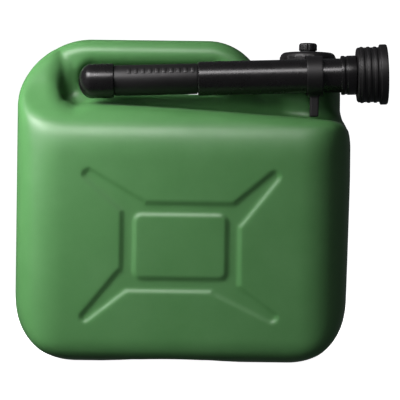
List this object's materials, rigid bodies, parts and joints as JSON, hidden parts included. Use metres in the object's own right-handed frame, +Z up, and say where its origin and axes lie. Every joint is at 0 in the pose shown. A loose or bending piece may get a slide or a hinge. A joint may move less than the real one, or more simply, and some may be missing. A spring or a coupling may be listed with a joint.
{
  "type": "fuel can",
  "caption": "Upright plastic fuel can with a through handle, screw cap with vent knob, and a pouring spout stowed in a recess beside the handle.",
  "frame": {"origin": "bottom centre of the whole assembly's bounding box, spout included", "axes": "+Z up, +X along the can towards the neck and the spout's open end, -Y towards the side that carries the spout"},
  "size_m": [0.2828, 0.13, 0.2467],
  "materials": {
    "green": "satin blow-moulded polyethylene, coloured through",
    "black": "satin injection-moulded plastic",
    "soft": "matt sealing rubber"
  },
  "bodies": {
    "can": {"can_body": "green", "spout_clip": "black"},
    "liner": {"cap_liner": "soft"},
    "cap": {"screw_cap": "black"},
    "vent_ring": {"vent_seal": "soft"},
    "vent": {"vent_screw": "black"},
    "spout": {"spout_barrel": "black", "spout_nozzle": "black", "spout_gasket": "soft"},
    "nut": {"spout_nut": "black"},
    "end_cap": {"spout_end_cap": "black"}
  },
  "joints": [
    {"name": "cap_lift", "type": "slide", "parent": "can", "child": "liner", "axis": [0, 0, 1], "range_m": [0, 0.02]},
    {"name": "cap_turn", "type": "hinge", "parent": "liner", "child": "cap", "pos_m": [0.08216, 0, 0.235], "axis": [0, 0, 1], "range_deg": [0, 1441]},
    {"name": "vent_lift", "type": "slide", "parent": "cap", "child": "vent_ring", "axis": [0, 0, 1], "range_m": [0, 0.006]},
    {"name": "vent_turn", "type": "hinge", "parent": "vent_ring", "child": "vent", "pos_m": [0.08216, 0, 0.24], "axis": [0, 0, 1], "range_deg": [0, 721]},
    {"name": "spout_draw", "type": "slide", "parent": "can", "child": "spout", "axis": [0.9994, 0, 0.0349], "range_m": [0, 0.19]},
    {"name": "nut_spin", "type": "hinge", "parent": "spout", "child": "nut", "pos_m": [0.12967, -0.038, 0.22009], "axis": [0.9994, 0, 0.0349], "continuous": true},
    {"name": "end_cap_pull", "type": "slide", "parent": "spout", "child": "end_cap", "axis": [-0.9994, 0, -0.0349], "range_m": [0, 0.0078]}
  ],
  "couplings": [
    {"joint": "cap_turn", "follows": "cap_lift", "rad_per_m": 1256.6},
    {"joint": "vent_turn", "follows": "vent_lift", "rad_per_m": 2094.4}
  ]
}
